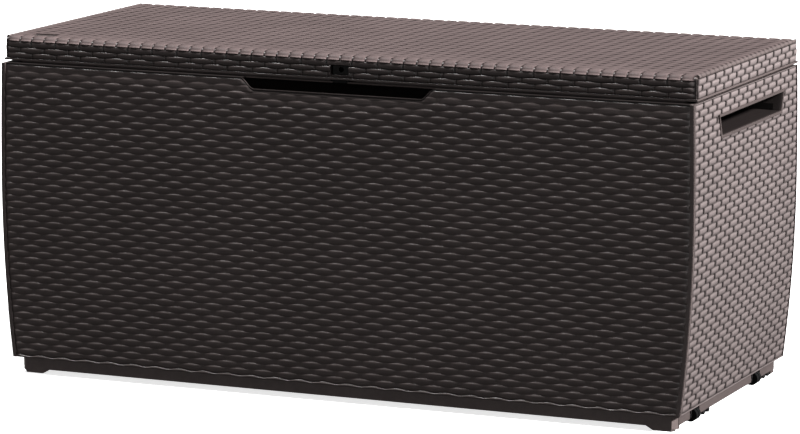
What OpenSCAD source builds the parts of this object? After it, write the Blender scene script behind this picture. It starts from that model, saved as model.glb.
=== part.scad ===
// Deck storage box: a kit of moulded resin panels on a plinth tray, with a
// hinged lid, cupped end handles and small rollers under the right-hand end.
// +X runs along the front, +Y to the back, +Z up. The origin is on the ground
// at the centre of the footprint.

/* [Overall size] */
// Width over the fullest part of the bulged end walls
overall_w = 1235; // [1100:5:1400]
// Depth over the front and back walls
overall_d = 535; // [500:5:620]
// Height of the closed lid above the ground
overall_h = 575; // [560:5:700]

/* [Walls] */
// Thickness of the wall panels' outer skin
skin_t = 5; // [4:0.5:6]
// Depth of the wall panels over their ribs
wall_t = 22; // [20:0.5:24]
// Thickness of the ribs behind the skins
rib_t = 4; // [3:0.5:6]
// Number of upright ribs behind the front and back skins
long_ribs = 11; // [7:2:15]
// Depth that the weave relief stands proud of the skins
relief = 2.7; // [2:0.1:3]
// Height of the lid, from its lower edge to its top
lid_h = 41; // [41:1:55]
// Shadow gap between the lid and the top of the walls
lid_gap = 3.8; // [3.5:0.1:6]

/* [End wall bulge] */
// Radius of the bulge above its fullest height
upper_r = 6500; // [5000:100:9000]
// Radius of the bulge below its fullest height
lower_r = 2670; // [2400:10:4000]

/* [Plinth] */
// Height of the lower edge of the wall skins
skirt_z = 27.7; // [26.5:0.1:29]
// Thickness of the plinth's moulded walls
plinth_t = 4; // [3:0.5:5]
// Ground clearance under the long plinth rails
rail_z = 7; // [5:0.5:9]
// Ground clearance under the end plinth rails
end_rail_z = 9.5; // [8:0.5:11]

/* [Finger recess] */
// Width of the recess at its upper edge
recess_top_w = 344; // [260:2:400]
// Width of the recess at its floor
recess_floor_w = 300; // [220:2:340]
// Depth of the recess floor below the wall top
recess_drop = 17.7; // [14:0.1:20]

/* [Handles] */
// Width of the hand slot at its upper edge
slot_top_w = 329; // [240:1:340]
// Width of the hand slot at its lower edge
slot_bottom_w = 306; // [220:1:320]
// Height of the hand slot
slot_h = 31; // [28:1:36]
// Inward depth of the handle cup
cup_depth = 60; // [45:1:70]

/* [Hinges] */
// Distance of the outer hinges from the middle
hinge_x = 480; // [380:5:520]
// Radius of the hinge pins
hinge_pin_r = 2.5; // [2:0.1:2.8]

/* [Rollers] */
// Radius of the rollers
roller_r = 11; // [10.5:0.1:11.2]
// Length of each roller
roller_w = 20; // [14:0.5:21]

/* [Hidden] */
$fn = 64;

half_w = overall_w/2;
half_d = overall_d/2;
wall_top = overall_h - lid_h - lid_gap;
bulge_z = 0.591*overall_h;
edge_t = 7;                       // end panel edge that shows beside the front panel
fit = 0.3;                        // gap between neighbouring panels
deck_z = 30;                      // top of the plinth deck
wall_z = deck_z + fit;            // underside of the walls on the deck
plinth_x = half_w - 27.5;
plinth_y = half_d - 12.5;
bulge_steps = 18;
bulge_low = 20;
bulge_high = overall_h - 15;

// Lid
lid_x = half_w - 1.7;
lid_front = -half_d + 13.1;
lid_back = half_d - 2.8;
lid_low = overall_h - lid_h;
lid_skin = 6;
lid_under = overall_h - lid_skin;
lid_round = 5;

// Finger recess
recess_z = wall_top - recess_drop;
recess_y = -half_d + 18;          // face of the recess wall

// Handle
slot_y = 20.5;
slot_z = wall_top - 66;
cup_x = half_w - 1.5 - cup_depth; // inner face of the cup's back wall
cup_t = 3;
flange_x = half_w - 0.1;

// Hinges
pin_y = half_d - 13.5;
pin_z = lid_low + 15.5;
barrel_r = 4.4;
leaf_z = lid_under - 13;          // underside of the leaf's plate

// Lock
lock_z = lid_low + 15.8;

// Rollers
roller_x = plinth_x - 7;
front_station = -192;
rear_station = 121;

function bulge(z) = let (r = z > bulge_z ? upper_r : lower_r) r - sqrt(r*r - pow(z - bulge_z, 2));
function edge_x(z, inset) = half_w - bulge(z) - inset;
function level(i) = bulge_low + (bulge_high - bulge_low)*i/bulge_steps;

// Extrusion of an XZ outline along Y
module along_y(y0, y1) {
  translate([0, y1, 0]) rotate([90, 0, 0]) linear_extrude(height = y1 - y0) children();
}

// Extrusion of a YZ outline along X
module along_x(x0, x1) {
  translate([x0, 0, 0]) rotate([90, 0, 90]) linear_extrude(height = x1 - x0) children();
}

module block(x0, x1, y0, y1, z0, z1) {
  translate([x0, y0, z0]) cube([x1 - x0, y1 - y0, z1 - z0]);
}

// Full outline of the body between its bulged ends, cut to a height range
module body_outline(inset, z0, z1) {
  intersection() {
    polygon(concat(
      [for (i = [0:bulge_steps]) [edge_x(level(i), inset), level(i)]],
      [for (i = [bulge_steps:-1:0]) [-edge_x(level(i), inset), level(i)]]));
    translate([-half_w, z0]) square([overall_w, z1 - z0]);
  }
}

// Strip that follows the right-hand bulge between two insets
module bulge_strip(inset0, inset1, z0, z1) {
  intersection() {
    polygon(concat(
      [for (i = [0:bulge_steps]) [edge_x(level(i), inset0), level(i)]],
      [for (i = [bulge_steps:-1:0]) [edge_x(level(i), inset1), level(i)]]));
    translate([0, z0]) square([half_w, z1 - z0]);
  }
}

module end_strip(y0, y1, inset0, inset1, z0, z1) {
  along_y(y0, y1) bulge_strip(inset0, inset1, z0, z1);
}

// Outline with rounded upper corners
module round_top(w0, w1, z0, z1, r) {
  translate([w0, z0]) square([w1 - w0, z1 - z0 - r]);
  translate([w0 + r, z0]) square([w1 - w0 - 2*r, z1 - z0]);
  translate([w0 + r, z1 - r]) circle(r = r);
  translate([w1 - r, z1 - r]) circle(r = r);
}

// Long wall, drawn as the front one: skin, frame and upright ribs
module long_wall() {
  inset = edge_t + fit;
  back = -half_d + wall_t;
  along_y(-half_d + relief, -half_d + relief + skin_t) body_outline(inset, skirt_z, wall_top);
  difference() {
    along_y(-half_d + skin_t, back) body_outline(inset, wall_z, wall_top);
    along_y(-half_d, back + 1) body_outline(inset + 8, wall_z + 8, wall_top - 8);
  }
  pitch = (2*half_w - 120)/(long_ribs + 1);
  for (i = [1:long_ribs]) {
    x = -half_w + 60 + pitch*i;
    block(x - rib_t/2, x + rib_t/2, -half_d + skin_t, back, wall_z + 4, wall_top - 4);
  }
}

// Finger recess outline: a level floor whose ends rise in S-curves to the wall top
module recess_outline() {
  x0 = recess_floor_w/2 - 1;
  x1 = recess_top_w/2 + 1;
  side = [for (i = [0:10]) let (t = i/10)
    [x0 + (x1 - x0)*t, recess_z + recess_drop*t*t*(3 - 2*t)]];
  polygon(concat(side, [[x1, wall_top + 5], [-x1, wall_top + 5]],
    [for (i = [10:-1:0]) [-side[i][0], side[i][1]]]));
}

module front_panel() {
  color("#3d2f2b") difference() {
    union() {
      long_wall();
      block(-recess_top_w/2 - 10, recess_top_w/2 + 10, -half_d + relief, -half_d + wall_t,
        recess_z - 5, wall_top);
    }
    along_y(-half_d - 1, recess_y) recess_outline();
    for (s = [-1, 1])
      translate([s*6, recess_y - 1, wall_top - 6]) rotate([-90, 0, 0])
        cylinder(r = 1.75, h = wall_t);
  }
}

module back_panel() {
  color("#3d2f2b") difference() {
    union() {
      mirror([0, 1, 0]) long_wall();
      for (x = [-hinge_x, 0, hinge_x])
        block(x - 26, x + 26, half_d - wall_t, half_d - 1, wall_top - 44, wall_top);
    }
    for (x = [-hinge_x, 0, hinge_x])
      for (s = [-1, 1])
        translate([x + s*14, half_d - wall_t - 1, wall_top - 25]) rotate([-90, 0, 0])
          cylinder(r = 2.05, h = 12.5);
  }
}

// Hand slot outline in YZ, grown by g
module slot_outline(g) {
  polygon([[slot_y - slot_bottom_w/2 - g, slot_z - g], [slot_y + slot_bottom_w/2 + g, slot_z - g],
    [slot_y + slot_top_w/2 + g, slot_z + slot_h + g], [slot_y - slot_top_w/2 - g, slot_z + slot_h + g]]);
}

// Outer envelope of a handle cup's chamber, grown by g
module cup_envelope(g) {
  along_x(cup_x - cup_t - g, flange_x - 2) slot_outline(cup_t + g);
  block(cup_x - cup_t - g, half_w - 13 + g, slot_y - 160 - g, slot_y + 160 + g,
    slot_z - cup_t - g, slot_z + slot_h + 13 + cup_t + g);
}

// End wall, drawn as the right-hand one: curved skin, frame and ribs
module end_wall() {
  inner = half_d - wall_t - fit;
  difference() {
    union() {
      end_strip(-half_d + 1, half_d - 1, relief, edge_t, skirt_z, wall_top);
      for (s = [0, 1]) mirror([0, s, 0]) {
        end_strip(half_d - 5, half_d, 1, edge_t, skirt_z, wall_top);
        end_strip(half_d - 5, half_d - 1, 0, edge_t, skirt_z, wall_top);
      }
      end_strip(-inner, inner, skin_t, wall_t, wall_top - 8, wall_top);
      end_strip(-inner, inner, skin_t, wall_t, wall_z, wall_z + 8);
      for (s = [0, 1]) mirror([0, s, 0])
        end_strip(inner - 6, inner, skin_t, wall_t, wall_z + 4, wall_top - 4);
      for (i = [-2:2])
        end_strip(96*i - rib_t/2, 96*i + rib_t/2, skin_t, wall_t, wall_z + 4, wall_top - 4);
    }
    cup_envelope(0.3);
    along_x(flange_x - 2.5, half_w + 5) slot_outline(4.8);
  }
}

module right_end_panel() {
  color("#4a3a35") end_wall();
}

module left_end_panel() {
  color("#4a3a35") mirror([1, 0, 0]) end_wall();
}

// Handle cup, drawn as the right-hand one: rim flange, slot and chamber
module handle_cup() {
  difference() {
    union() {
      along_x(flange_x - 2.2, flange_x) slot_outline(4.5);
      cup_envelope(0);
    }
    along_x(cup_x, half_w + 5) slot_outline(0);
    block(cup_x, half_w - 13 - cup_t, slot_y - 160 + cup_t, slot_y + 160 - cup_t,
      slot_z, slot_z + slot_h + 13);
  }
}

module right_handle_cup() {
  color("#5a4a44") handle_cup();
}

module left_handle_cup() {
  color("#5a4a44") mirror([1, 0, 0]) handle_cup();
}

// One corner foot, drawn at the right front; its end face stops at y_in
module foot(y_in) {
  x0 = plinth_x - 41;
  x1 = plinth_x - 1;
  y1 = -plinth_y;
  translate([0, 0, 3.5]) linear_extrude(height = deck_z - 7)
    polygon([[x0, y1], [x1 - 8, y1], [x1, y1 + 9], [x1, y_in], [x0, y_in]]);
  linear_extrude(height = 4)
    polygon([[x0, y1], [x1 - 9, y1], [x1 - 5, y1 + 7], [x1 - 5, y_in - 4], [x0, y_in - 4]]);
  along_y(y1, y_in - 4)
    polygon([[x0 + 0.5, 0], [x0 + 0.5, rail_z + 3], [x0 - 12, rail_z + 3], [x0 - 12, rail_z]]);
}

// Moulded plinth and floor in one piece
module base_tray() {
  floor_x = edge_x(deck_z, wall_t) - 1;
  floor_y = half_d - wall_t - 1;
  color("#352a27") difference() {
    union() {
      // deck with chamfered corners
      translate([0, 0, deck_z - 4]) linear_extrude(height = 4) polygon([
        [-plinth_x + 9, -plinth_y], [plinth_x - 9, -plinth_y], [plinth_x, -plinth_y + 10],
        [plinth_x, plinth_y - 10], [plinth_x - 9, plinth_y], [-plinth_x + 9, plinth_y],
        [-plinth_x, plinth_y - 10], [-plinth_x, -plinth_y + 10]]);
      // long rails
      for (s = [0, 1]) mirror([0, s, 0])
        block(-plinth_x + 30, plinth_x - 30, -plinth_y, -plinth_y + plinth_t, rail_z, deck_z - 3);
      // end rails
      for (s = [0, 1]) mirror([s, 0, 0])
        block(plinth_x - plinth_t, plinth_x, -plinth_y + 10, plinth_y - 10, end_rail_z, deck_z - 3);
      // feet
      for (s = [0, 1]) mirror([s, 0, 0]) {
        foot(-240);
        mirror([0, 1, 0]) foot(-229);
      }
      // locating upstand inside the walls
      difference() {
        block(-floor_x, floor_x, -floor_y, floor_y, deck_z - 1, deck_z + 9);
        block(-floor_x + 3, floor_x - 3, -floor_y + 3, floor_y - 3, deck_z - 2, deck_z + 10);
      }
      // stiffening ribs under the deck
      for (i = [-5:5])
        block(100*i - 1.5, 100*i + 1.5, -plinth_y + 2, plinth_y - 2, 12, deck_z - 3);
      for (y = [-120, 0, 120])
        block(-plinth_x + 2, plinth_x - 34, y - 1.5, y + 1.5, 12, deck_z - 3);
      // raised ribs on the floor
      for (i = [-5:5])
        block(100*i - 48, 100*i + 48, -floor_y + 20, floor_y - 20, deck_z - 1, deck_z + 1.5);
    }
    // notches in the right-hand end rail, one for each roller
    for (y = [front_station, rear_station])
      block(plinth_x - 12, plinth_x + 5, y, y + 47, -1, deck_z - 4);
  }
}

// Lid shell: top and skirts, open below
module lid() {
  color("#7a6763") difference() {
    union() {
      difference() {
        intersection() {
          along_x(-lid_x, lid_x)
            round_top(lid_front + relief, lid_back - relief, lid_low, overall_h - relief, lid_round);
          along_y(lid_front, lid_back)
            round_top(-lid_x + relief, lid_x - relief, lid_low, overall_h - relief, lid_round);
        }
        block(-lid_x + lid_skin, lid_x - lid_skin, lid_front + lid_skin, lid_back - lid_skin,
          lid_low - 1, lid_under);
      }
      // bottom lip round the skirts
      difference() {
        block(-lid_x, lid_x, lid_front, lid_back, lid_low, lid_low + 3.2);
        block(-lid_x + lid_skin, lid_x - lid_skin, lid_front + lid_skin, lid_back - lid_skin,
          lid_low - 1, lid_low + 5);
      }
      // smooth beads along the top edges of the two ends
      for (s = [-1, 1])
        translate([s*(lid_x - 3.2), lid_front + 9, overall_h - 3.2]) rotate([-90, 0, 0])
          cylinder(r = 3.2, h = lid_back - lid_front - 18);
    }
    // window for the lock plate
    block(-16, 16, lid_front - 1, lid_front + lid_skin + 1, lid_low + 7.5, lid_low + 24);
    // notches for the hinges
    for (x = [-hinge_x, 0, hinge_x])
      block(x - 12.5, x + 12.5, lid_back - lid_skin - 1, lid_back + 1, lid_low - 1, pin_z + 12);
    // shallow seat for the blank badge
    block(-half_w + 39.5, -half_w + 84.5, -half_d + 35.5, -half_d + 57.5,
      overall_h - 3.4, overall_h + 1);
  }
}

lid_rim_x = edge_x(wall_top - 8, wall_t) - 3;
lid_rim_front = -half_d + 28;
lid_rim_back = half_d - 26;

// Locating rim welded under the lid, with the pads that the hinge leaves are screwed to
module lid_rim() {
  low = lid_low - 20;
  color("#3d2f2b") difference() {
    union() {
      difference() {
        block(-lid_rim_x, lid_rim_x, lid_rim_front, lid_rim_back, low, lid_under);
        block(-lid_rim_x + 3, lid_rim_x - 3, lid_rim_front + 3, lid_rim_back - 3, low - 1, lid_under + 1);
      }
      for (x = [-hinge_x, 0, hinge_x])
        block(x - 26, x + 26, pin_y - 34, pin_y - 4, leaf_z + 3, lid_under);
    }
    block(-22, 22, lid_rim_front - 1, lid_rim_front + 4, low - 1, lid_under + 1);
    for (x = [-hinge_x, 0, hinge_x]) {
      block(x - 27, x + 27, lid_rim_back - 4, lid_rim_back + 1, low - 1, leaf_z + 3);
      for (s = [-1, 1])
        translate([x + s*15, pin_y - 24, leaf_z + 2]) cylinder(r = 2.05, h = 9);
    }
  }
}

// Cross ribs welded under the lid inside its rim
module lid_ribs() {
  color("#3d2f2b") for (i = [-6:5])
    block(98*i + 47.5, 98*i + 50.5, lid_rim_front + 3.1, lid_rim_back - 3.1, lid_under - 18, lid_under);
}

module badge_plate() {
  color("#8a7a75") block(-half_w + 39.8, -half_w + 84.2,
    -half_d + 35.8, -half_d + 57.2, overall_h - 3.4, overall_h - 1.7);
}

// Hasp plate that stands behind the lid window, fixed to the recess wall
module lock_plate() {
  inner = -half_d + wall_t;
  color("#24201f") difference() {
    block(-15, 15, inner, inner + 3, wall_top - 30, lid_low + 22);
    translate([0, inner - 1, lock_z]) rotate([-90, 0, 0]) cylinder(r = 4.5, h = 5);
    for (s = [-1, 1])
      translate([s*6, inner - 1, wall_top - 6]) rotate([-90, 0, 0]) cylinder(r = 1.8, h = 5);
  }
}

// Tab in the finger recess, folded back over the recess wall to the hasp plate
module lock_tab() {
  inner = -half_d + wall_t;
  color("#24201f") difference() {
    union() {
      block(-13, 13, recess_y - 1.5, inner - 0.1, wall_top + 0.1, wall_top + 2.1);
      block(-13, 13, recess_y - 1.5, recess_y, wall_top - 10, wall_top + 1);
    }
    for (s = [-1, 1])
      translate([s*6, recess_y - 3, wall_top - 6]) rotate([-90, 0, 0]) cylinder(r = 1.8, h = 5);
  }
}

// Screws that hold the hasp plate through the recess wall
module lock_screws() {
  color("silver") for (s = [-1, 1])
    translate([s*6, recess_y - 1.5, wall_top - 6]) rotate([-90, 0, 0]) {
      translate([0, 0, -1.4]) cylinder(r = 2.9, h = 1.4);
      translate([0, 0, -0.2]) cylinder(r = 1.7, h = 7.5);
    }
}

// Hinge bracket on the back wall: plate, strap over the wall top and barrel
module hinge_bracket(x) {
  inner = half_d - wall_t;
  color("#2b2422") difference() {
    union() {
      block(x - 24, x + 24, inner - 3, inner, wall_top - 40, wall_top - 1);
      block(x - 11, x + 11, inner - 3, inner, wall_top - 2, wall_top + 2.9);
      block(x - 11, x + 11, inner - 2, pin_y + barrel_r, wall_top + 0.1, wall_top + 2.9);
      block(x - 11, x + 11, pin_y - barrel_r, pin_y + barrel_r, wall_top + 0.1, pin_z);
      translate([x - 11, pin_y, pin_z]) rotate([0, 90, 0]) cylinder(r = barrel_r, h = 22);
    }
    translate([x - 12, pin_y, pin_z]) rotate([0, 90, 0]) cylinder(r = hinge_pin_r + 0.02, h = 24);
    for (s = [-1, 1])
      translate([x + s*14, inner - 4, wall_top - 25]) rotate([-90, 0, 0]) cylinder(r = 2.1, h = 5);
  }
}

module left_hinge_bracket() { hinge_bracket(-hinge_x); }
module centre_hinge_bracket() { hinge_bracket(0); }
module right_hinge_bracket() { hinge_bracket(hinge_x); }

// Hinge leaf under the lid: plate with two arms that hold the pin outside the bracket
module hinge_leaf(x) {
  color("#2b2422") difference() {
    union() {
      block(x - 26, x + 26, pin_y - 34, pin_y + barrel_r, leaf_z, leaf_z + 3);
      for (s = [0, 1]) {
        x0 = s == 0 ? x - 23 : x + 11.4;
        block(x0, x0 + 11.6, pin_y - barrel_r, pin_y + barrel_r, pin_z, leaf_z + 1);
        translate([x0, pin_y, pin_z]) rotate([0, 90, 0]) cylinder(r = barrel_r, h = 11.6);
      }
    }
    translate([x - 24, pin_y, pin_z]) rotate([0, 90, 0]) cylinder(r = hinge_pin_r + 0.06, h = 48);
    for (s = [-1, 1])
      translate([x + s*15, pin_y - 24, leaf_z - 1]) cylinder(r = 2.1, h = 5);
  }
}

module left_hinge_leaf() { hinge_leaf(-hinge_x); }
module centre_hinge_leaf() { hinge_leaf(0); }
module right_hinge_leaf() { hinge_leaf(hinge_x); }

module hinge_pin(x) {
  color("silver") translate([x - 23.5, pin_y, pin_z]) rotate([0, 90, 0])
    cylinder(r = hinge_pin_r, h = 47);
}

module left_hinge_pin() { hinge_pin(-hinge_x); }
module centre_hinge_pin() { hinge_pin(0); }
module right_hinge_pin() { hinge_pin(hinge_x); }

// Pan-head screw along +Z with its seat at z = 0
module pan_screw(len) {
  translate([0, 0, -2]) cylinder(r = 4, h = 2);
  translate([0, 0, -0.5]) cylinder(r = 2, h = len + 0.5);
}

module hinge_bracket_screws() {
  color("silver") for (x = [-hinge_x, 0, hinge_x]) for (s = [-1, 1])
    translate([x + s*14, half_d - wall_t - 3, wall_top - 25]) rotate([-90, 0, 0]) pan_screw(14);
}

module hinge_leaf_screws() {
  color("silver") for (x = [-hinge_x, 0, hinge_x]) for (s = [-1, 1])
    translate([x + s*15, pin_y - 24, leaf_z]) pan_screw(10);
}

// Roller with a shallow groove round its middle
module roller(y) {
  mid = y + 32;
  color("#141414") translate([roller_x, mid - roller_w/2, roller_r]) rotate([-90, 0, 0])
    difference() {
      cylinder(r = roller_r, h = roller_w);
      translate([0, 0, -1]) cylinder(r = 3.06, h = roller_w + 2);
      translate([0, 0, roller_w/2 - 1]) difference() {
        cylinder(r = roller_r + 1, h = 2);
        translate([0, 0, -1]) cylinder(r = roller_r - 1, h = 4);
      }
    }
}

module front_roller() { roller(front_station); }
module rear_roller() { roller(rear_station); }

module roller_axle(y) {
  color("silver") translate([roller_x, y + 17, roller_r]) rotate([-90, 0, 0])
    cylinder(r = 3, h = 30);
}

module front_roller_axle() { roller_axle(front_station); }
module rear_roller_axle() { roller_axle(rear_station); }

// Clip-in carrier: roof, two cheeks and a tail with two lugs under the end rail
module roller_carrier(y) {
  x0 = roller_x - 12;
  x1 = plinth_x - plinth_t - 0.2;
  color("#1a1a1a") difference() {
    union() {
      block(x0, x1, y + 16, y + 106, deck_z - 7.2, deck_z - 4);
      for (c = [17.5, 43]) {
        block(x0, x1, y + c, y + c + 3.5, roller_r - 1, deck_z - 5);
        translate([roller_x - 2, y + c, roller_r - 1]) rotate([-90, 0, 0]) cylinder(r = 5, h = 3.5);
      }
      block(x0, x1, y + 45, y + 106, end_rail_z + 0.6, deck_z - 5);
      for (l = [78, 100])
        translate([x1 - 7, y + l, 6.6]) rotate([0, 90, 0]) cylinder(r = 5.2, h = 9);
    }
    translate([roller_x, y + 16, roller_r]) rotate([-90, 0, 0]) cylinder(r = 3.03, h = 34);
    block(x1, x1 + 20, y - 5, y + 130, end_rail_z - 0.2, deck_z);
  }
}

module front_roller_carrier() { roller_carrier(front_station); }
module rear_roller_carrier() { roller_carrier(rear_station); }

base_tray();
front_panel();
back_panel();
left_end_panel();
right_end_panel();
left_handle_cup();
right_handle_cup();
lid();
lid_rim();
lid_ribs();
badge_plate();
lock_plate();
lock_tab();
lock_screws();
left_hinge_bracket();
centre_hinge_bracket();
right_hinge_bracket();
left_hinge_leaf();
centre_hinge_leaf();
right_hinge_leaf();
left_hinge_pin();
centre_hinge_pin();
right_hinge_pin();
hinge_bracket_screws();
hinge_leaf_screws();
front_roller();
rear_roller();
front_roller_axle();
rear_roller_axle();
front_roller_carrier();
rear_roller_carrier();
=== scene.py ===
"""Deck storage box: woven relief shells, materials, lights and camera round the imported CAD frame."""
import math
from collections import namedtuple

import bpy
import numpy as np
from mathutils import Matrix, Vector


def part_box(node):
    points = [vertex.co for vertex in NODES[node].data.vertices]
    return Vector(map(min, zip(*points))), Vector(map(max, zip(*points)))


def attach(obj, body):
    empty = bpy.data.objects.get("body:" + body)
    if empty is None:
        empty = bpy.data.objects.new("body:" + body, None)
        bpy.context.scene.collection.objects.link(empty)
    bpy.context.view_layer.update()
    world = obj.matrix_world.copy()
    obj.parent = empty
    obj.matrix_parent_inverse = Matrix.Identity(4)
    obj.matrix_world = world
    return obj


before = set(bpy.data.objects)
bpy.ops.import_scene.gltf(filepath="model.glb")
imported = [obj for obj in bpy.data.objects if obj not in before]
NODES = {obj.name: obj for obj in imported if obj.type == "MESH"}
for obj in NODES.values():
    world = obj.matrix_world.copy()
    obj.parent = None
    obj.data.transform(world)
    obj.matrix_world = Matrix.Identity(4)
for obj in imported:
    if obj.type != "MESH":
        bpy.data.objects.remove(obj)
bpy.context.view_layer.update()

# ---------------------------------------------------------------- sizes, in metres
MM = 0.001
SIDES = ("left", "centre", "right")
end_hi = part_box("right_end_panel")[1]
wall_lo, wall_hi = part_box("front_panel")
lid_lo, lid_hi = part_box("lid")
badge_lo, badge_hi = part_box("badge_plate")
hinge_xs = [(a.x + b.x) / 2 for a, b in (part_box(s + "_hinge_bracket") for s in SIDES)]

HALF_W, HALF_D = end_hi.x, end_hi.y
RELIEF = HALF_D + wall_lo.y                 # how far the weave stands proud of the skins
SUNK = 0.5 * MM                             # how deep a shell's back lies in the skin

# Walls
WALL_TOP, SKIRT = wall_hi.z, wall_lo.z
WEAVE_LOW = SKIRT + 4.2 * MM                # lowest line of the walls' weave
WALL_ROWS = 47
BULGE_Z = 0.591 * lid_hi.z                  # height at which the walls bulge most
UPPER_R, LOWER_R = 6.5, 2.67                # radii of the bulge above and below it
RIM = 5 * MM                                # smooth upright rims of the end panels
PITCHES, END_PITCHES = 27, 12               # in the length of a long side, and of an end
PITCH = 2 * (HALF_W - 7.3 * MM) / PITCHES   # from stake to next stake but one, along X
HALF_WEAVE = PITCHES / 2 * PITCH
WALL_INSET = 7.6 * MM                       # from the bulge to the long walls' last column
STRIP = 3.0 * MM                            # smooth strip under the top of a long wall
RECESS_Z = WALL_TOP - 17.7 * MM             # floor of the finger recess
RECESS_X, RECESS_SLOPE = 0.149, 0.024       # where its sloping sides begin, and how wide they are
RECESS_COLUMNS = (0.147, 0.1755, 0.003)     # start, stop and step of the columns over a side
SLOT_Y, SLOT_Z = 20.5 * MM, WALL_TOP - 66 * MM   # middle and lower edge of the hand slot
SLOT_TOP, SLOT_LOW, SLOT_H = 329 * MM, 306 * MM, 31 * MM   # its width above and below, its height
SLOT_RIM = 2.4 * MM                         # from the slot to the weave round it

# Lid
LID_REAR = 0.2647                           # outer face of its back skirt
LID_FRONT, LID_BACK, LID_TOP = lid_lo.y + RELIEF, LID_REAR - RELIEF, lid_hi.z - RELIEF
LID_LOW = 534 * MM                          # lower edge of its skirts
LID_WEAVE_LOW = LID_LOW + 3.2 * MM + 0.1 * MM   # just above their 3.2 mm lip
LID_WEAVE_X = 610.0 * MM                    # half the length of its weave
LID_INSET = 1.6 * MM                        # from a long skirt to the weave of the lid's end
ROUND = 8.2 * MM                            # radius of its long edges
BAND = 11 * MM                              # how far the wrapped band lies on the flat top
BAND_LOW = LID_TOP - 6.7 * MM               # where the skirts' material ends
TOP_ROW = 10.55 * MM                        # about how wide a row of the top is
LID_END_PITCH = (LID_BACK - LID_FRONT - 2 * LID_INSET) / END_PITCHES
WINDOW_X = 16.5 * MM                        # half the lock window's width, and its two heights
WINDOW_LOW, WINDOW_HIGH = LID_LOW + 7.1 * MM, LID_LOW + 24.4 * MM
HINGE_X, HINGE_HIGH = 13 * MM, LID_LOW + 28.0 * MM   # cut in the back skirt at each hinge
BADGE_GAP = 0.5 * MM

# ---------------------------------------------------------------- strands
# Columns in half a pitch along a strand
ALONG = (0, 0.07, 0.14, 0.26, 0.5, 0.74, 0.86, 0.93)
ALONG_WALL = (0, 0.085, 0.25, 0.5, 0.75, 0.915)
ALONG_LID = (0, 0.2, 0.5, 0.8)

# Places across a strand with their heights: leaning, soft, low and flat, or rising to one side
LEAN = ((0, 0), (0.1, 0.4), (0.35, 0.8), (0.74, 1.0), (0.87, 0.97), (0.955, 0.6))
SOFT = ((0, 0), (0.08, 0.5), (0.3, 0.9), (0.68, 1.0), (0.84, 0.9), (0.94, 0.52))
LOW = ((0, 0), (0.18, 1.0), (0.82, 1.0))
RISE = ((0, 0), (0.07, 0.5), (0.3, 0.74), (0.62, 0.97), (0.76, 1.0), (0.9, 0.8), (0.96, 0.5))

# How a strand is shaped: squareness, reach and edge of its raised part, height of the stake
# between, how high it stays at its ends, how high the line between two strands lies, and its
# heights across
Strand = namedtuple("Strand", "square reach edge stake ends seam across", defaults=(0.0, ()))
LENS = Strand(square=2.1, reach=0.475, edge=1.0, stake=0.65, ends=0.4, seam=0.5, across=LEAN)
SKIRT_LENS = Strand(square=5.0, reach=0.482, edge=0.6, stake=0.8, ends=0.0, seam=0.12, across=SOFT)
PILLOW = Strand(square=18.0, reach=0.434, edge=0.5, stake=0.02, ends=0.0, seam=0.55, across=RISE)
TOP = Strand(square=8.0, reach=0.415, edge=0.5, stake=0.0, ends=0.0, seam=0.6, across=LOW)
SLAB = Strand(square=14.0, reach=0.485, edge=0.5, stake=0.0, ends=0.1)

GROOVE = 0.06                               # relief at the bottom of the grooves
STAKE_R = 1.5 * MM
STAKE_RISE = 1.6                            # how fast a stake rises from the line between two rows

# Height in mm, share of the weave's wave and relief of each line of the walls' lower lip
WALL_LIP = ((0, 0, 0.5), (0.6, 0, 0.85), (1.9, 0.4, 1.0), (3.3, 0.9, 0.8))


def bulge(z):
    r = np.where(z > BULGE_Z, UPPER_R, LOWER_R)
    return r - np.sqrt(r * r - (z - BULGE_Z) ** 2)


def smooth(t):
    t = np.clip(t, 0, 1)
    return t * t * (3 - 2 * t)


def taper(u, half, wide, low):
    """Factor along the columns that takes the relief down to low over this width at each end."""
    near = np.minimum(half - np.abs(u), wide) / wide
    return (low + (1 - low) * smooth(near))[None, :]


def columns(half, pitch, extra=(), along=ALONG, clear=0.6 * MM):
    """Columns over +-half, denser at the stakes, with the extra ones in place of those near them."""
    n = int(round(4 * half / pitch))
    u = np.concatenate([(-half + (k + np.array(along)) * pitch / 2) for k in range(n)] + [[half]])
    extra = np.array(sorted(extra), float)
    if len(extra):
        near = np.abs(u[:, None] - extra[None, :]).min(1)
        u = np.sort(np.concatenate([u[near > clear], extra]))
    return u


def strand(u, pitch, middle, shape):
    """Relief along a strand that passes over one stake and under the next."""
    t = (u - middle) / pitch
    t = np.abs(t - np.round(t))
    over = np.clip(1 - (t / shape.reach) ** shape.square, 0, None) ** shape.edge
    over = shape.ends + (1 - shape.ends) * over
    stake = shape.stake * np.sqrt(np.clip(1 - ((0.5 - t) * pitch / STAKE_R) ** 2, 0, None))
    return over, stake


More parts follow.
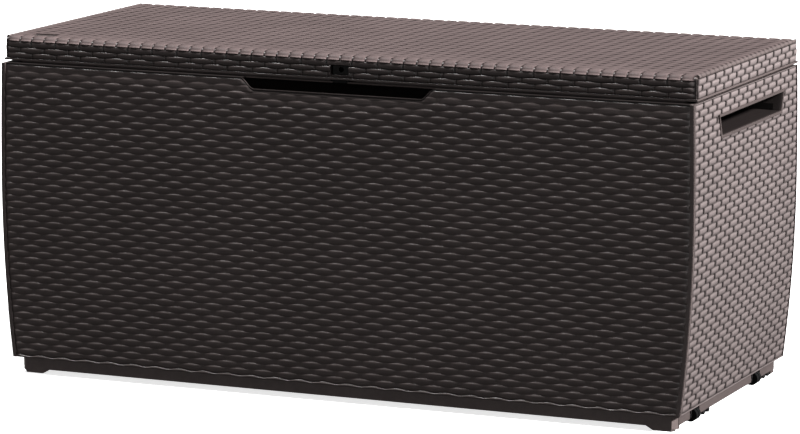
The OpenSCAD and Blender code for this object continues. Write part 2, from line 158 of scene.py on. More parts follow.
def weave(u, v0, v1, n, pitch, odd, bow, shape, first_bow=0.0, last_bow=0.0, rise=None):
    """Lines of n strands between v0 and v1: their places and reliefs at each column. odd moves
    the rows half a pitch, the bows say how far the lines between rows wave, in rows, and rise
    is a factor on each row's relief."""
    wide = (v1 - v0) / n
    rise = np.ones(n) if rise is None else rise

    def middle(j):
        return pitch / 2 * ((j + odd) % 2)

    def wave(k):
        amp = first_bow if k == 0 else last_bow if k == n else bow
        return amp * wide * np.cos(2 * np.pi * (u - middle(k - 1)) / pitch)

    places, reliefs = [], []
    for j in range(n):
        over, stake = strand(u, pitch, middle(j), shape)
        below, _ = strand(u, pitch, middle(j - 1), shape)
        low, high = wave(j), wave(j + 1)
        for f, c in shape.across:
            places.append(v0 + (j + f) * wide + (1 - f) * low + f * high)
            if f == 0:
                body = shape.seam * (np.maximum(over, below) if j else over * 0)
            else:
                body = np.maximum(over * (shape.seam + (1 - shape.seam) * c),
                                  stake * min(1.0, STAKE_RISE * c))
            reliefs.append(GROOVE + (1 - GROOVE) * body * rise[j])
    return places, reliefs


def wall_lip(wave=0.0):
    """Places and reliefs of a wall's lower lip, which follows the wave of its lowest strands."""
    return ([SKIRT + up * MM + wave * share for up, share, _ in WALL_LIP],
            [height for _, _, height in WALL_LIP])


def stack(lines, n):
    return np.array([np.broadcast_to(np.asarray(v, float), (n,)) for v in lines])


# ---------------------------------------------------------------- closed relief shells
WELD = 1e6                                  # corners that share a micrometre are one
SHARP = 52                                  # degrees between faces that meet in a hard edge


def neighbours(cells, shape):
    """The corners that have at least one of these cells beside them."""
    rows, cols = shape
    found = np.zeros(shape, bool)
    for dj in (0, 1):
        for di in (0, 1):
            found[dj:rows - 1 + dj, di:cols - 1 + di] |= cells
    return found


def clean(loop):
    """The loop without repeated corners, or None where no face is left."""
    loop = [int(v) for k, v in enumerate(loop) if v != loop[k - 1]]
    return loop if len(loop) > 2 else None


def shell(name, body, front, back, relief, cut=None, snap=None, tone=None):
    """A closed shell. front and back are (rows, columns, 3) places, cut(centres) gives the cells
    to leave out, snap(places) moves the corners along a cut onto its outline, and tone is the
    height that the material sees, where it isn't the relief: the material paints shade into the
    weave where it is low."""
    rows, cols = relief.shape
    keep = np.ones((rows - 1, cols - 1), bool)
    if cut is not None:
        centre = (front[:-1, :-1] + front[1:, :-1] + front[:-1, 1:] + front[1:, 1:]) / 4
        keep &= ~cut(centre)
        edge = neighbours(keep, relief.shape) & neighbours(~keep, relief.shape)
        edge[0] = edge[-1] = edge[:, 0] = edge[:, -1] = False
        for grid in (front, back):
            grid[edge] = snap(grid[edge])

    # Corners in one place become one, and cells left without area go
    key = np.round(front.reshape(-1, 3) * WELD).astype(np.int64)
    _, first, ids = np.unique(key, axis=0, return_index=True, return_inverse=True)
    ids = ids.reshape(rows, cols)
    quads = np.stack([ids[:-1, :-1], ids[:-1, 1:], ids[1:, 1:], ids[1:, :-1]], -1)
    same = np.zeros(keep.shape, int)
    for a in range(4):
        same += quads[..., a] == quads[..., (a + 1) % 4]
    keep &= same < 2
    keep &= (quads[..., 0] != quads[..., 2]) & (quads[..., 1] != quads[..., 3])

    # The front's cells, and its open edges
    faces = [f for f in (clean(q) for q in quads[keep]) if f]
    edges = dict.fromkeys((f[k - 1], f[k]) for f in faces for k in range(len(f)))
    rim = [(a, b) for a, b in edges if (b, a) not in edges]

    # The back is one long face for each run of cells, with corners only where others need them
    flagged = {v for e in rim for v in e}
    total = len(first)
    runs = []
    for j in range(rows - 1):
        i = 0
        while i < cols - 1:
            k = i
            while k < cols - 1 and keep[j, k]:
                k += 1
            if k > i:
                runs.append((j, i, k))
                flagged.update(int(v) for v in ids[j:j + 2, (i, k)].ravel())
            i = max(k, i + 1)
    for j, i, k in runs:
        low, high = ([v for v in ids[row, i:k + 1] if v in flagged] for row in (j, j + 1))
        loop = clean(low + high[::-1])
        if loop:
            faces.append([v + total for v in loop[::-1]])
    faces += [(b, a, a + total, b + total) for a, b in rim]

    places = np.concatenate([front.reshape(-1, 3)[first], back.reshape(-1, 3)[first]])
    tone = relief if tone is None else tone
    heights = np.concatenate([tone.reshape(-1)[first], np.zeros(total)])
    used = np.unique(np.concatenate([np.array(f) for f in faces]))
    renum = np.full(len(places), -1)
    renum[used] = np.arange(len(used))
    mesh = bpy.data.meshes.new(name)
    mesh.from_pydata(places[used].tolist(), [], [[int(renum[v]) for v in f] for f in faces])
    depth = mesh.attributes.new("relief", "FLOAT", "POINT")
    depth.data.foreach_set("value", heights[used].astype(np.float32))
    mesh.polygons.foreach_set("use_smooth", np.ones(len(mesh.polygons), bool))
    mesh.set_sharp_from_angle(angle=math.radians(SHARP))
    mesh.update()
    piece = bpy.data.objects.new(name, mesh)
    bpy.context.scene.collection.objects.link(piece)
    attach(piece, body)
    return piece


def inside(ring, y, z):
    hit = np.ones(y.shape, bool)
    for a, b in zip(ring, np.roll(ring, -1, 0)):
        hit &= (b[0] - a[0]) * (z - a[1]) - (b[1] - a[1]) * (y - a[0]) > 0
    return hit


def onto(ring, p):
    """The nearest points on a closed outline."""
    best, reach = p.copy(), np.full(len(p), np.inf)
    for a, b in zip(ring, np.roll(ring, -1, 0)):
        d = b - a
        t = np.clip(((p - a) @ d) / (d @ d), 0, 1)
        q = a + t[:, None] * d
        far = np.linalg.norm(p - q, axis=1)
        best[far < reach] = q[far < reach]
        reach = np.minimum(reach, far)
    return best


def flipped(*grids):
    """The grids with their columns in the other order, which turns the faces round."""
    return [g[:, ::-1] for g in grids]


# ---------------------------------------------------------------- front and back walls
def wall_lines(u, top):
    """Lines of a long wall, from its scalloped lower lip up to the smooth strip under its top:
    their places, reliefs and the heights that the material sees, which paint shade darker over
    the 9 mm under the strip and near black on the strip, where the lid shades the wall's top."""
    places, reliefs = weave(u, WEAVE_LOW, WALL_TOP - STRIP, WALL_ROWS, PITCH, 0, 0.055, LENS,
                            first_bow=0.11)
    flatter = [0.55 + 0.45 * smooth((top - 6 * MM - p) / (24 * MM)) for p in places]
    reliefs = [r * f for r, f in zip(reliefs, flatter)]
    lines, heights = wall_lip(places[0] - WEAVE_LOW)
    strip = top - STRIP                      # lines above the strip's lower edge come down to it
    above = [p > strip - 0.3 * MM for p in places]
    lines += [np.where(a, strip, p) for a, p in zip(above, places)]
    heights += [np.where(a, GROOVE, r) for a, r in zip(above, reliefs)]
    cut = np.clip((WALL_TOP - top) / (4 * MM), 0, 1)     # 1 in the recess
    for down, h in ((STRIP, GROOVE), (2.6 * MM, 0.2), (2.0 * MM, 0.24),
                    (0.7 * MM, 0.24 + 0.1 * cut), (0, 0.24 - 0.04 * cut)):
        lines.append(top - down)
        heights.append(h)
    lines, heights = stack(lines, len(u)), stack(heights, len(u))
    # Painted shade under the lid: the tones fade to dark over the 9 mm under the strip, and the strip's
    # top lines are painted darkest, a little less dark in the recess
    tones = heights * (0.03 + 0.97 * smooth((top - STRIP - lines) / (9 * MM)))
    tones[-3:] = 0.035 * cut
    return lines, heights, tones


def long_wall(name, sign, recessed):
    if recessed:
        extra = [s * x for s in (-1, 1) for x in np.arange(*RECESS_COLUMNS)]
        u = columns(HALF_WEAVE, PITCH, extra, ALONG_WALL, clear=1.6 * MM)
        out = smooth((np.abs(u) - RECESS_X) / RECESS_SLOPE)
        top = RECESS_Z + (WALL_TOP - RECESS_Z) * out
    else:
        u = columns(HALF_WEAVE, PITCH, along=ALONG_WALL)
        top = np.full(u.shape, WALL_TOP)
    z, h, tone = wall_lines(u, top)
    x = u[None, :] * (HALF_W - WALL_INSET - bulge(z)) / HALF_WEAVE
    y = sign * abs(wall_lo.y)
    h = h * taper(u, HALF_WEAVE, 3 * MM, 0.25)
    front = np.stack([x, y + sign * h * RELIEF, z], -1)
    back = np.stack([x, np.full_like(x, y - sign * SUNK), z], -1)
    if sign > 0:
        front, back, h, tone = flipped(front, back, h, tone)
    return shell(name, "chest", front, back, h, tone=tone)


# ---------------------------------------------------------------- end walls
def slot_ring(grow):
    """Outline of the hand slot in (y, z), and grow further out."""
    low, high = SLOT_Z - grow, SLOT_Z + SLOT_H + grow
    return np.array([(SLOT_Y - SLOT_LOW / 2 - grow, low), (SLOT_Y + SLOT_LOW / 2 + grow, low),
                     (SLOT_Y + SLOT_TOP / 2 + grow, high), (SLOT_Y - SLOT_TOP / 2 - grow, high)])


def end_wall(name, sign):
    half = HALF_D - RIM - 0.25 * MM
    pitch = half / (END_PITCHES / 2)
    u = columns(half, pitch)
    places, reliefs = weave(u, WEAVE_LOW, WALL_TOP - 2 * MM, WALL_ROWS, pitch, 1, 0.04, PILLOW,
                            first_bow=0.03)
    lines, heights = wall_lip()
    lines, heights = lines + places, heights + reliefs
    for down, h in ((2 * MM, GROOVE), (1.6 * MM, 0.75), (1.1 * MM, 0.95), (0.5 * MM, 0.95), (0, 0.65)):
        lines.append(WALL_TOP - down)
        heights.append(h)
    z, h = stack(lines, len(u)), stack(heights, len(u))
    y = np.broadcast_to(u, z.shape)
    h = h * taper(u, half, 2.2 * MM, 0.2)
    face = HALF_W - bulge(z) - RELIEF
    front = np.stack([sign * (face + h * RELIEF), y, z], -1)
    back = np.stack([sign * (face - SUNK), y, z], -1)
    ring = slot_ring(SLOT_RIM)

    def snap(p):
        p = p.copy()
        p[:, 1:] = onto(ring, p[:, 1:])
        return p

    if sign < 0:
        front, back, h = flipped(front, back, h)
    return shell(name, "chest", front, back, h, lambda c: inside(ring, c[..., 1], c[..., 2]), snap)


# ---------------------------------------------------------------- lid
# Degrees round the lid's long edges, with how far the wrapped band stands out there
EDGE = ((10, 0.3), (12, 0.95), (14, 1.2), (17, 1.2), (23, 1.08), (30, 0.96), (36, 0.98), (44, 1.08),
        (54, 1.14), (66, 1.1), (78, 1.03), (90, 1.0))
BAND_START, EDGE_LINE = 11, 24              # degrees at which the band begins, and its light line ends, partly a raised bead and partly a painted highlight
TICK_COLUMNS = (-1.6, -0.75, 0.75, 1.6)     # mm to either side of each groove of the band


def band_relief(u):
    """Relief and tone of the cells of the wrapped edge band, with a groove at every half pitch; the
    tone paints shade dark into each groove and keeps the cells below full brightness.
    """
    half = PITCH / 2
    q = np.abs(u / half - np.round(u / half)) * half
    relief = 0.25 + 0.67 * smooth((q - 0.3 * MM) / (2.6 * MM)) + 0.06 * (q / (half / 2))
    return relief, 0.05 + 0.75 * smooth((q - 0.6 * MM) / (0.8 * MM))


def skirt_lines(u, low, high):
    """Three rows of a skirt: two of lens-shaped strands and a flatter top one."""
    wide = (high - low) / 3
    places, reliefs = weave(u, low, low + 2 * wide, 2, PITCH, 0, 0.045, SKIRT_LENS, last_bow=0.03)
    over, stake = strand(u, PITCH, 0, SLAB)
    over = np.maximum(over, stake)
    start = low + 2 * wide + 0.03 * wide * np.cos(2 * np.pi * (u - PITCH / 2) / PITCH)
    for f, c in ((0, 0), (0.08, 0.6), (0.25, 0.8), (0.6, 0.84), (0.88, 0.8), (1.0, 0.55)):
        places.append(start * (1 - f) + (low + 3 * wide) * f)
        reliefs.append(GROOVE + (1 - GROOVE) * over * c)
    return places, reliefs


def lid_columns():
    extra = [-WINDOW_X, WINDOW_X, badge_lo.x - BADGE_GAP, badge_hi.x + BADGE_GAP]
    extra += [x + s * HINGE_X for x in hinge_xs for s in (-1, 1)]
    extra = [e * HALF_WEAVE / LID_WEAVE_X for e in extra]
    extra += [k * PITCH / 2 + d * MM for k in range(1 - PITCHES, PITCHES) for d in TICK_COLUMNS]
    return columns(HALF_WEAVE, PITCH, extra, ALONG_LID)


def lid_skirt(u, face, out):
    """Lines of a long skirt. Each line of the lid is its y and z, its outward y and z, its
    relief and its tone."""
    turn = LID_TOP - ROUND                   # height at which the long edge begins to turn
    found = [(face, LID_WEAVE_LOW, out, 0, 0.2, 0.2)]
    for p, r in zip(*skirt_lines(u, LID_WEAVE_LOW + 0.4 * MM, turn + 0.8 * MM)):
        over = np.clip(p - turn, 0, None) / ROUND
        found.append((face - out * ROUND * (1 - np.cos(over)),
                      turn + ROUND * np.sin(over) + np.minimum(p - turn, 0),
                      out * np.cos(over), np.sin(over), r, r))
    return found


def lid_edge(face, out, band, band_tone):
    """Lines of the wrapped band where it turns from the skirt onto the top."""
    found = []
    for deg, r in EDGE:
        a = math.radians(deg)
        # Painted shade and highlight: below the band the tone is painted dark as shade in the crease,
        # and up to EDGE_LINE it is raised as a painted highlight line
        if deg < BAND_START:
            relief, tone = np.minimum(band, r), band_tone * 0.2
        else:
            relief = band * r
            tone = np.minimum(1.3 * band_tone, 1.0) if deg < EDGE_LINE else band_tone
        found.append((face - out * ROUND * (1 - math.cos(a)), LID_TOP - ROUND + ROUND * math.sin(a),
                      out * math.cos(a), math.sin(a), relief, tone))
    return found


def lid_flat_band(flat, inner, out, band, band_tone):
    """Lines of the band on the flat top, from the rounded edge to the weave."""
    steps = ((flat - out * 4 * MM, 1.0), (inner + out * 2.5 * MM, 0.97), (inner + out * 1.0 * MM, 0.8))
    return [(y, LID_TOP, 0, 1, band * r, band_tone * r) for y, r in steps]


def lid_flat_weave(u, y0, y1):
    """Lines of the top's weave, shallower and more even towards the front."""
    n = int(round((y1 - y0) / TOP_ROW))
    from_front = np.arange(n) * (y1 - y0) / n
    rise = 0.8 + 0.2 * smooth(from_front / (45 * MM))
    found = []
    for p, r in zip(*weave(u, y0, y1, n, PITCH, 1, 0.06, TOP, rise=rise)):
        # Painted shade in the gaps between the top's strands, fainter towards the front
        fade = 0.3 + 0.7 * smooth((p - y0) / (60 * MM))
        found.append((p, LID_TOP, 0, 1, 0.8 + 0.2 * r, 0.88 - 0.88 * (1 - r) * fade))
    return found + [(y1, LID_TOP, 0, 1, GROOVE, GROOVE)]


def lid_holes():
    """What the lid's weave leaves out: the side it is on, two x, and two z, or two y on the top."""
    return [("front", -WINDOW_X, WINDOW_X, WINDOW_LOW, WINDOW_HIGH),
            ("top", badge_lo.x - BADGE_GAP, badge_hi.x + BADGE_GAP,
             badge_lo.y - BADGE_GAP, badge_hi.y + BADGE_GAP)] + [
                ("back", x - HINGE_X, x + HINGE_X, 0.0, HINGE_HIGH) for x in hinge_xs]


def on_side(p, where):
    """Which places are on that side of the lid, and their coordinate along it."""
    flat = LID_TOP - 1 * MM
    if where == "top":
        return p[..., 2] > flat, p[..., 1]
    side = p[..., 1] < 0 if where == "front" else p[..., 1] > 0
    return side & (p[..., 2] < flat), p[..., 2]


def cut_lid(c):
    out = np.zeros(c.shape[:-1], bool)
    for where, x0, x1, v0, v1 in lid_holes():
        on, v = on_side(c, where)
        out |= on & (c[..., 0] > x0) & (c[..., 0] < x1) & (v > v0) & (v < v1)
    return out


def snap_lid(p):
    p = p.copy()
    reach = 4 * MM
    for where, x0, x1, v0, v1 in lid_holes():
        on, v = on_side(p, where)
        on &= (p[:, 0] > x0 - reach) & (p[:, 0] < x1 + reach) & (v > v0 - reach) & (v < v1 + reach)
        if on.any():
            ring = np.array([(x0, v0), (x1, v0), (x1, v1), (x0, v1)])
            axes = [0, 1] if where == "top" else [0, 2]
            q = p[on]
            q[:, axes] = onto(ring, q[:, axes])
            p[on] = q
    return p


def lid_top():
    u = lid_columns()
    band = band_relief(u)
    front_flat, back_flat = LID_FRONT + ROUND, LID_BACK - ROUND
    y0, y1 = front_flat + BAND, back_flat - BAND
    lines = lid_skirt(u, LID_FRONT, -1) + lid_edge(LID_FRONT, -1, *band)
    lines += lid_flat_band(front_flat, y0, -1, *band)
    lines += lid_flat_weave(u, y0, y1)
    lines += lid_flat_band(back_flat, y1, 1, *band)[::-1]
    lines += lid_edge(LID_BACK, 1, *band)[::-1] + lid_skirt(u, LID_BACK, 1)[::-1]
    y, z, ny, nz, h, tone = (stack(values, len(u)) for values in zip(*lines))
    x = np.broadcast_to(u * LID_WEAVE_X / HALF_WEAVE, y.shape)
    h = h * taper(u, HALF_WEAVE, 2.5 * MM, 0.25)
    # Painted shade at the lid's corners: off the flat top, the tone goes dark towards the weave's ends
    ends = smooth((HALF_WEAVE - np.abs(u)) / (3.5 * MM) - 0.4)[None, :]
    tone = np.where(nz > 0.99, tone, tone * ends)
    front = np.stack([x, y + ny * h * RELIEF, z + nz * h * RELIEF], -1)
    back = np.stack([x, y - ny * SUNK, z - nz * SUNK], -1)
    front, back, h, tone = flipped(front, back, h, tone)
    return shell("lid_weave", "lid", front, back, h, cut_lid, snap_lid, tone)


def lid_end(name, sign):
    y0, y1 = LID_FRONT + LID_INSET, LID_BACK - LID_INSET
    half = (y1 - y0) / 2
    pitch = half / (END_PITCHES / 2)
    u = columns(half, pitch)
    low, high = LID_WEAVE_LOW, lid_hi.z - 6.2 * MM
    places, reliefs = weave(u, low + 0.3 * MM, high, 3, pitch, 1, 0.04, PILLOW)
    z = stack([low] + places + [high], len(u))
    h = stack([0.2] + reliefs + [GROOVE], len(u)) * taper(u, half, 2 * MM, 0.3)
    y = np.broadcast_to(u + (y0 + y1) / 2, z.shape)
    face = lid_hi.x - RELIEF
    front = np.stack([sign * (face + h * RELIEF), y, z], -1)
    back = np.stack([np.full_like(z, sign * (face - SUNK)), y, z], -1)
    if sign < 0:
        front, back, h = flipped(front, back, h)
    return shell(name, "lid", front, back, h)


walls_x = [long_wall("front_weave", -1, True), long_wall("back_weave", 1, False)]
lid_weave = lid_top()
along_y = [end_wall("right_end_weave", 1), end_wall("left_end_weave", -1),
           lid_end("lid_right_weave", 1), lid_end("lid_left_weave", -1)]


# ---------------------------------------------------------------- materials
X, Y, Z = range(3)                          # components of a place or normal


def material(name):
    m = bpy.data.materials.new(name)
    m.use_nodes = True
    t = m.node_tree
    t.nodes.clear()
    out = t.nodes.new("ShaderNodeOutputMaterial")
    b = t.nodes.new("ShaderNodeBsdfPrincipled")
    t.links.new(b.outputs[0], out.inputs[0])
    return m, t, b


def noise(t, scale, detail=3.0, rough=0.55, stretch=(1, 1, 1)):
    c = t.nodes.new("ShaderNodeTexCoord")
    mp = t.nodes.new("ShaderNodeMapping")
    mp.inputs["Scale"].default_value = stretch
    n = t.nodes.new("ShaderNodeTexNoise")
    n.inputs["Scale"].default_value = scale
    n.inputs["Detail"].default_value = detail
    n.inputs["Roughness"].default_value = rough
    t.links.new(c.outputs["Object"], mp.inputs["Vector"])
    t.links.new(mp.outputs[0], n.inputs["Vector"])
    return n.outputs["Fac"]


def ramp(t, value, stops):
    """A colour ramp. Each stop is a place and a colour, or a place and a grey level."""
    r = t.nodes.new("ShaderNodeValToRGB")
    while len(r.color_ramp.elements) < len(stops):
        r.color_ramp.elements.new(0.5)
    for e, (place, c) in zip(r.color_ramp.elements, stops):
        e.position = place
        e.color = (*c, 1) if isinstance(c, tuple) else (c, c, c, 1)
    t.links.new(value, r.inputs[0])
    return r.outputs[0]


def multiply(t, a, b, factor=1.0):
    """Colour a times colour b, each of them a socket or a value."""
    n = t.nodes.new("ShaderNodeMix")
    n.data_type = "RGBA"
    n.blend_type = "MULTIPLY"
    for socket, value in ((n.inputs[0], factor), (n.inputs[6], a), (n.inputs[7], b)):
        if hasattr(value, "links"):
            t.links.new(value, socket)
        else:
            socket.default_value = value
    return n.outputs[2]


def bump(t, height, strength, distance, normal=None):
    n = t.nodes.new("ShaderNodeBump")
    n.inputs["Strength"].default_value = strength
    n.inputs["Distance"].default_value = distance
    t.links.new(height, n.inputs["Height"])
    if normal is not None:
        t.links.new(normal, n.inputs["Normal"])
    return n.outputs[0]


def bevel(t, radius):
    n = t.nodes.new("ShaderNodeBevel")
    n.samples = 4
    n.inputs["Radius"].default_value = radius
    return n.outputs[0]


def scaled(colour, k):
    return tuple(c * k for c in colour)


def along(t, kind, axis, period=0.0):
    """How large one component of the object's own place or normal is, leaving out its sign, or
    with a period, how much of the current period it has run."""
    c = t.nodes.new("ShaderNodeTexCoord")
    parts = t.nodes.new("ShaderNodeSeparateXYZ")
    t.links.new(c.outputs[kind], parts.inputs[0])
    size = t.nodes.new("ShaderNodeMath")
    size.operation = "ABSOLUTE"
    t.links.new(parts.outputs[axis], size.inputs[0])
    if not period:
        return size.outputs[0]
    for operation, value in (("DIVIDE", period), ("FRACT", 0.0)):
        step = t.nodes.new("ShaderNodeMath")
        step.operation = operation
        step.inputs[1].default_value = value
        t.links.new(size.outputs[0], step.inputs[0])
        size = step
    return size.outputs[0]


def beyond(t, axis, start, end):
    """0 up to start and 1 from end on, along one axis to either side."""
    return ramp(t, along(t, "Object", axis), [(start, 0.0), (end, 1.0)])


def lid_painted_shade(t, base):
    """Painted shade: dark ticks, with lighter cells between, for the shaded grooves along the beads at
    the lid's two ends, and a painted shadow at its skirt's front corners.
    """
    bands = ramp(t, along(t, "Object", Y, LID_END_PITCH / 2), [
        (0.0, 0.25), (0.04, 0.3), (0.08, 1.15), (0.93, 1.0), (0.97, 0.3), (1.0, 0.25)])
    upper = beyond(t, Z, lid_hi.z - 8 * MM, lid_hi.z - 7 * MM)
    outer = beyond(t, X, lid_hi.x - 8 * MM, lid_hi.x - 7 * MM)
    base = multiply(t, base, bands, multiply(t, upper, outer))
    # Painted shadow at the skirt's front corners
    front = beyond(t, Y, -lid_lo.y - 4.5 * MM, -lid_lo.y - 4 * MM)
    above = beyond(t, Z, LID_LOW + 3.4 * MM, LID_LOW + 3.8 * MM)
    return multiply(t, base, (0.12, 0.12, 0.12, 1), multiply(t, front, above))


def resin(name, grain, colour, gloss=0.4, spec=0.5, groove_shade=None, shade=None, details=None):
    """Moulded resin with a fine drawn grain along the strands and mottling, with shade painted into the
    hollows from the relief attribute.
    shade is a component of place or normal and the levels of painted light and shade that it gives."""
    m, t, b = material(name)
    mottle = noise(t, 7, 4)
    streak = noise(t, 60, 3, 0.6, stretch=grain)
    speck = noise(t, 1400, 2)
    base = ramp(t, mottle, [(0.3, scaled(colour, 0.93)), (0.7, scaled(colour, 1.07))])
    base = multiply(t, base, ramp(t, streak, [(0.3, 0.9), (0.7, 1.08)]))
    # Painted shade in the hollows: darker where the relief attribute is low
    if groove_shade:
        a = t.nodes.new("ShaderNodeAttribute")
        a.attribute_name = "relief"
        base = multiply(t, base, ramp(t, a.outputs["Fac"], groove_shade))
    # Painted light and shade by one component of the object's place or normal
    if shade:
        kind, axis, levels = shade
        base = multiply(t, base, ramp(t, along(t, kind, axis), levels))
    if details:
        base = details(t, base)
    t.links.new(base, b.inputs["Base Color"])
    rough = ramp(t, streak, [(0.25, gloss - 0.05), (0.75, gloss + 0.08)])
    t.links.new(rough, b.inputs["Roughness"])
    normal = bump(t, speck, 0.06, 0.4 * MM, None if groove_shade else bevel(t, 0.9 * MM))
    normal = bump(t, streak, 0.16, 0.6 * MM, normal)
    t.links.new(normal, b.inputs["Normal"])
    b.inputs["Specular IOR Level"].default_value = spec
    return m


def plain(name, colour, gloss, metallic=0.0, spec=0.5, grain=(1, 1, 1), scale=900):
    """A part without relief: metal, hard black plastic or rubber."""
    m, t, b = material(name)
    fine = noise(t, scale, 3, 0.6, stretch=grain)
    wear = noise(t, 35, 5)
    base = ramp(t, wear, [(0.3, scaled(colour, 0.88)), (0.7, scaled(colour, 1.12))])
    base = multiply(t, base, ramp(t, fine, [(0.3, 0.92), (0.7, 1.06)]))
    t.links.new(base, b.inputs["Base Color"])
    rough = ramp(t, fine, [(0.25, gloss - 0.06), (0.75, gloss + 0.08)])
    t.links.new(rough, b.inputs["Roughness"])
    t.links.new(bump(t, fine, 0.15, 0.4 * MM, bevel(t, 0.6 * MM)), b.inputs["Normal"])
    b.inputs["Metallic"].default_value = metallic
    b.inputs["Specular IOR Level"].default_value = spec
    return m


RESIN = (0.108, 0.086, 0.083)
STRANDS_X, STRANDS_Y = (0.5, 9, 9), (9, 0.5, 9)          # stretch of the grain on the strands
SMOOTH_X, SMOOTH_Y = (0.6, 5, 5), (5, 0.6, 5)            # and on the plain mouldings

# These two paint shade into the weave's hollows, darker the lower the relief
weave_x = resin("weave_resin_along_x", STRANDS_X, RESIN, gloss=0.36,
                groove_shade=[(0.01, 0.25), (0.05, 0.8), (0.4, 0.95), (1.0, 1.04)])
skirts = resin("weave_resin_skirts", STRANDS_X, RESIN, gloss=0.36,
               groove_shade=[(0.1, 0.15), (0.5, 0.62), (1.0, 0.96)])
# Painted shade in the gaps and a painted highlight on the crowns of the top's strands
weave_top = resin("weave_resin_lid", STRANDS_X, (0.115, 0.087, 0.085), gloss=0.46, spec=0.12,
                  groove_shade=[(0.06, 0.02), (0.5, 0.45), (0.8, 0.92), (0.9, 1.0), (1.0, 1.6)])
# Painted shade in the gaps and a painted highlight on the crowns of the end bricks, and painted light:
# lighter towards the top and a little darker at the bottom
weave_y = resin("weave_resin_along_y", STRANDS_Y, (0.106, 0.0875, 0.0855),
                groove_shade=[(0.08, 0.02), (0.4, 0.2), (0.58, 0.46), (0.8, 0.66), (1.0, 1.62)],
                shade=("Object", Z, [(0.05, 0.94), (0.3, 1.0), (0.5, 1.22), (0.57, 1.36)]))
smooth_x = resin("moulded_resin_along_x", SMOOTH_X, RESIN)
smooth_y = resin("moulded_resin_along_y", SMOOTH_Y, RESIN)
# Painted light and shade: 1.8 times the resin's colour to lighten the finger recess, which lies in
# shade, and faces that point up painted dark as the lid's shadow on the wall's top
wall_x = resin("moulded_resin_walls", SMOOTH_X, scaled(RESIN, 1.8),
               shade=("Normal", Z, [(0.5, 1.0), (0.85, 0.1)]))
# Painted shade on the lid's moulding: dark ticks on the end beads and a painted shadow at the skirt's
# front corners
lid_x = resin("moulded_resin_lid", SMOOTH_X, RESIN, details=lid_painted_shade)
# Painted light and shade: faces towards the front and back lighter, the ends darker
plinth = resin("plinth_resin", (2, 2, 2), scaled(RESIN, 0.9), gloss=0.46,
               shade=("Normal", Y, [(0.3, 0.75), (0.8, 1.7)]))
# Painted shade: the hand cup darker than the resin, darkest inside and lighter at its rim
pocket = resin("pocket_resin", (5, 1, 5), scaled(RESIN, 0.6), gloss=0.5,
               shade=("Object", X, [(HALF_W - 4.5 * MM, 0.3), (HALF_W - 2 * MM, 1.2)]))
badge = plain("badge_satin", (0.07, 0.058, 0.056), 0.34, grain=(1, 12, 12), scale=300)
black = plain("black_resin", (0.016, 0.015, 0.015), 0.45, spec=0.35)
rubber = plain("roller_black", (0.008, 0.008, 0.008), 0.6, spec=0.2, grain=(1, 14, 1), scale=220)
bright = plain("screw_heads", (0.85, 0.86, 0.88), 0.35, metallic=0.3, scale=700)
zinc = plain("zinc_steel", (0.62, 0.63, 0.65), 0.3, metallic=1.0, grain=(1, 9, 1), scale=700)

for o in walls_x:
    o.data.materials.append(weave_x)
for o in along_y:
    o.data.materials.append(weave_y)
lid_weave.data.materials.append(skirts)
lid_weave.data.materials.append(weave_top)
lid_weave.data.polygons.foreach_set("material_index",
                                    [int(f.center.z > BAND_LOW) for f in lid_weave.data.polygons])
finish = {
    lid_x: ["lid"],
    smooth_x: ["lid_rim", "lid_ribs"],
    wall_x: ["front_panel", "back_panel"],
    smooth_y: ["left_end_panel", "right_end_panel"],
    plinth: ["base_tray"],
    pocket: ["left_handle_cup", "right_handle_cup"],
    badge: ["badge_plate"],
    black: ["lock_plate", "lock_tab", "front_roller_carrier", "rear_roller_carrier"]
    + [s + "_hinge_" + k for s in SIDES for k in ("bracket", "leaf")],
    rubber: ["front_roller", "rear_roller"],
    bright: ["lock_screws"],
    zinc: ["hinge_bracket_screws", "hinge_leaf_screws", "front_roller_axle", "rear_roller_axle"]
    + [s + "_hinge_pin" for s in SIDES],
}
for m, names in finish.items():
    for n in names:
        for s in NODES[n].material_slots:
            s.material = m

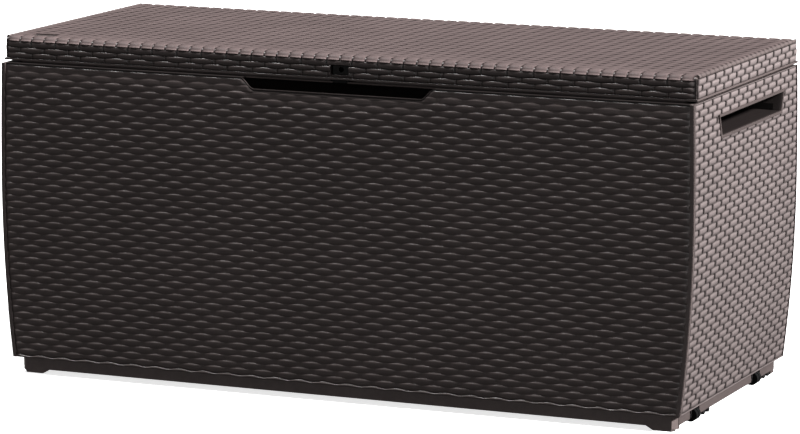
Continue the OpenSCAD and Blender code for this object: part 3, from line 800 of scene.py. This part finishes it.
# ---------------------------------------------------------------- floor, lights and camera
FLOOR = 60                                  # half its width
pale, t, b = material("pale_floor")
grey = ramp(t, noise(t, 3, 3), [(0.3, 0.88), (0.7, 0.93)])
t.links.new(grey, b.inputs["Base Color"])
b.inputs["Roughness"].default_value = 0.9
b.inputs["Emission Color"].default_value = (1, 1, 1, 1)
b.inputs["Emission Strength"].default_value = 0.75
floor_mesh = bpy.data.meshes.new("floor")
floor_mesh.from_pydata([(-FLOOR, -FLOOR, 0), (FLOOR, -FLOOR, 0), (FLOOR, FLOOR, 0), (-FLOOR, FLOOR, 0)],
                       [], [(0, 1, 2, 3)])
floor_mesh.materials.append(pale)
floor = bpy.data.objects.new("floor", floor_mesh)
bpy.context.scene.collection.objects.link(floor)
floor.visible_diffuse = floor.visible_glossy = False

# Each sun's name, the way to it, its strength, its angle in degrees and whether gloss shows it
SUNS = (("key", (0.82, 0.03, 0.52), 10.6, 8, False),
        ("top", (-0.38, -0.08, 0.92), 2.5, 10, True),
        ("front", (0.20, -0.97, 0.06), 0.42, 30, True),
        ("left", (-0.95, 0.05, 0.30), 1.3, 30, False),
        ("back", (0.10, 0.95, 0.30), 0.8, 30, False))
for name, toward, strength, angle, glossy in SUNS:
    light = bpy.data.lights.new(name, "SUN")
    light.energy = strength
    light.angle = math.radians(angle)
    o = bpy.data.objects.new(name, light)
    o.rotation_mode = "QUATERNION"
    o.rotation_quaternion = Vector(toward).to_track_quat("Z", "Y")
    o.visible_glossy = glossy
    bpy.context.scene.collection.objects.link(o)

world = bpy.data.worlds.new("studio")
world.use_nodes = True
background = world.node_tree.nodes["Background"]
background.inputs["Color"].default_value = (1.0, 1.0, 1.0, 1)
background.inputs["Strength"].default_value = 0.05
bpy.context.scene.world = world
bpy.context.scene.view_settings.view_transform = "Standard"

CAMERA_AT = (2.7462, -6.4918, 1.4624)
YAW, DOWN, ROLL = 0.40005, 0.16781, 0.00402              # in radians
cam = bpy.data.cameras.new("camera")
cam.lens, cam.sensor_width, cam.sensor_fit = 189.97, 36.0, "HORIZONTAL"
cam.clip_start, cam.clip_end = 0.1, 200
cam.dof.use_dof = False
camera = bpy.data.objects.new("camera", cam)
ahead = np.array([-math.sin(YAW) * math.cos(DOWN), math.cos(YAW) * math.cos(DOWN), -math.sin(DOWN)])
level = np.array([math.cos(YAW), math.sin(YAW), 0.0])
upright = np.cross(level, ahead)
right = level * math.cos(ROLL) + upright * math.sin(ROLL)
up = -level * math.sin(ROLL) + upright * math.cos(ROLL)
camera.matrix_world = Matrix([[right[k], up[k], -ahead[k], CAMERA_AT[k]] for k in range(3)]
                             + [[0, 0, 0, 1]])
bpy.context.scene.collection.objects.link(camera)
bpy.context.scene.camera = camera
